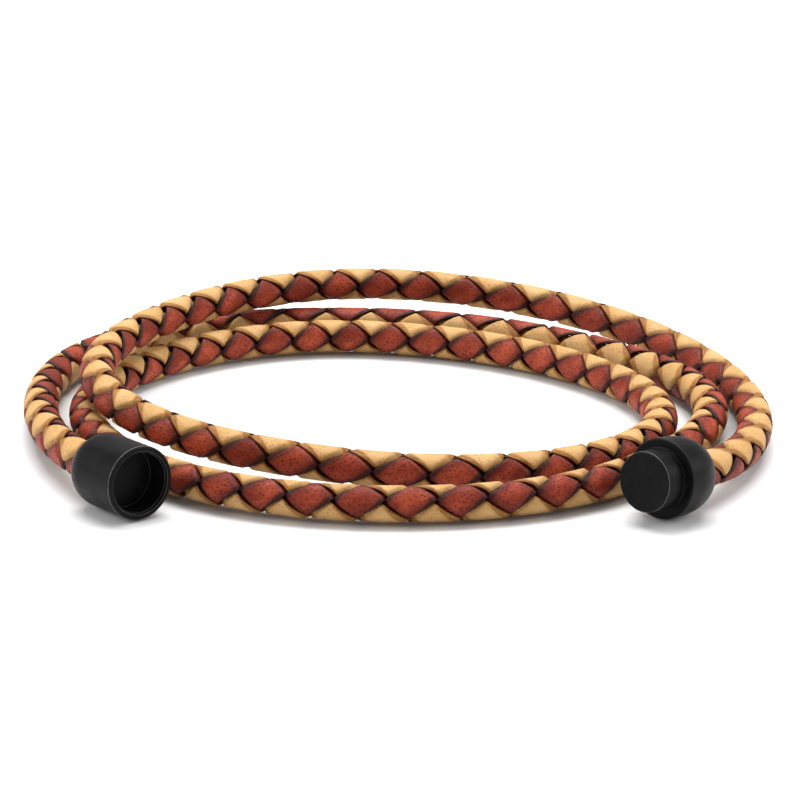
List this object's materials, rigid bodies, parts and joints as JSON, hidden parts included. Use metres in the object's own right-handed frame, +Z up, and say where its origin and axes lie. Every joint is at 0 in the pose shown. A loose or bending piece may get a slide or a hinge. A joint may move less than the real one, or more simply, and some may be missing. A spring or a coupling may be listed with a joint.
{
  "type": "braided leather bracelet",
  "caption": "Wrap bracelet of round braided leather in two colours, lying open in loops, with a push-fit clasp of a cup and a stud.",
  "frame": {"origin": "on the table, under the middle of the bracelet's box", "axes": "+X to the viewer's right, +Y away from the viewer, who looks at the clasp's open gap, +Z up from the table"},
  "size_m": [0.0832, 0.0774, 0.0087],
  "materials": {
    "tan_leather": "natural tan grain leather, semi-matte, with bevelled honey-brown edges",
    "brown_leather": "red-brown grain leather, semi-matte, with dark burgundy edges",
    "black_metal": "satin black plated steel"
  },
  "bodies": {
    "root": {"tan_lace_1": "tan_leather", "tan_lace_2": "tan_leather", "brown_lace_1": "brown_leather", "brown_lace_2": "brown_leather", "clasp_cup": "black_metal", "clasp_plug": "black_metal"}
  },
  "joints": []
}
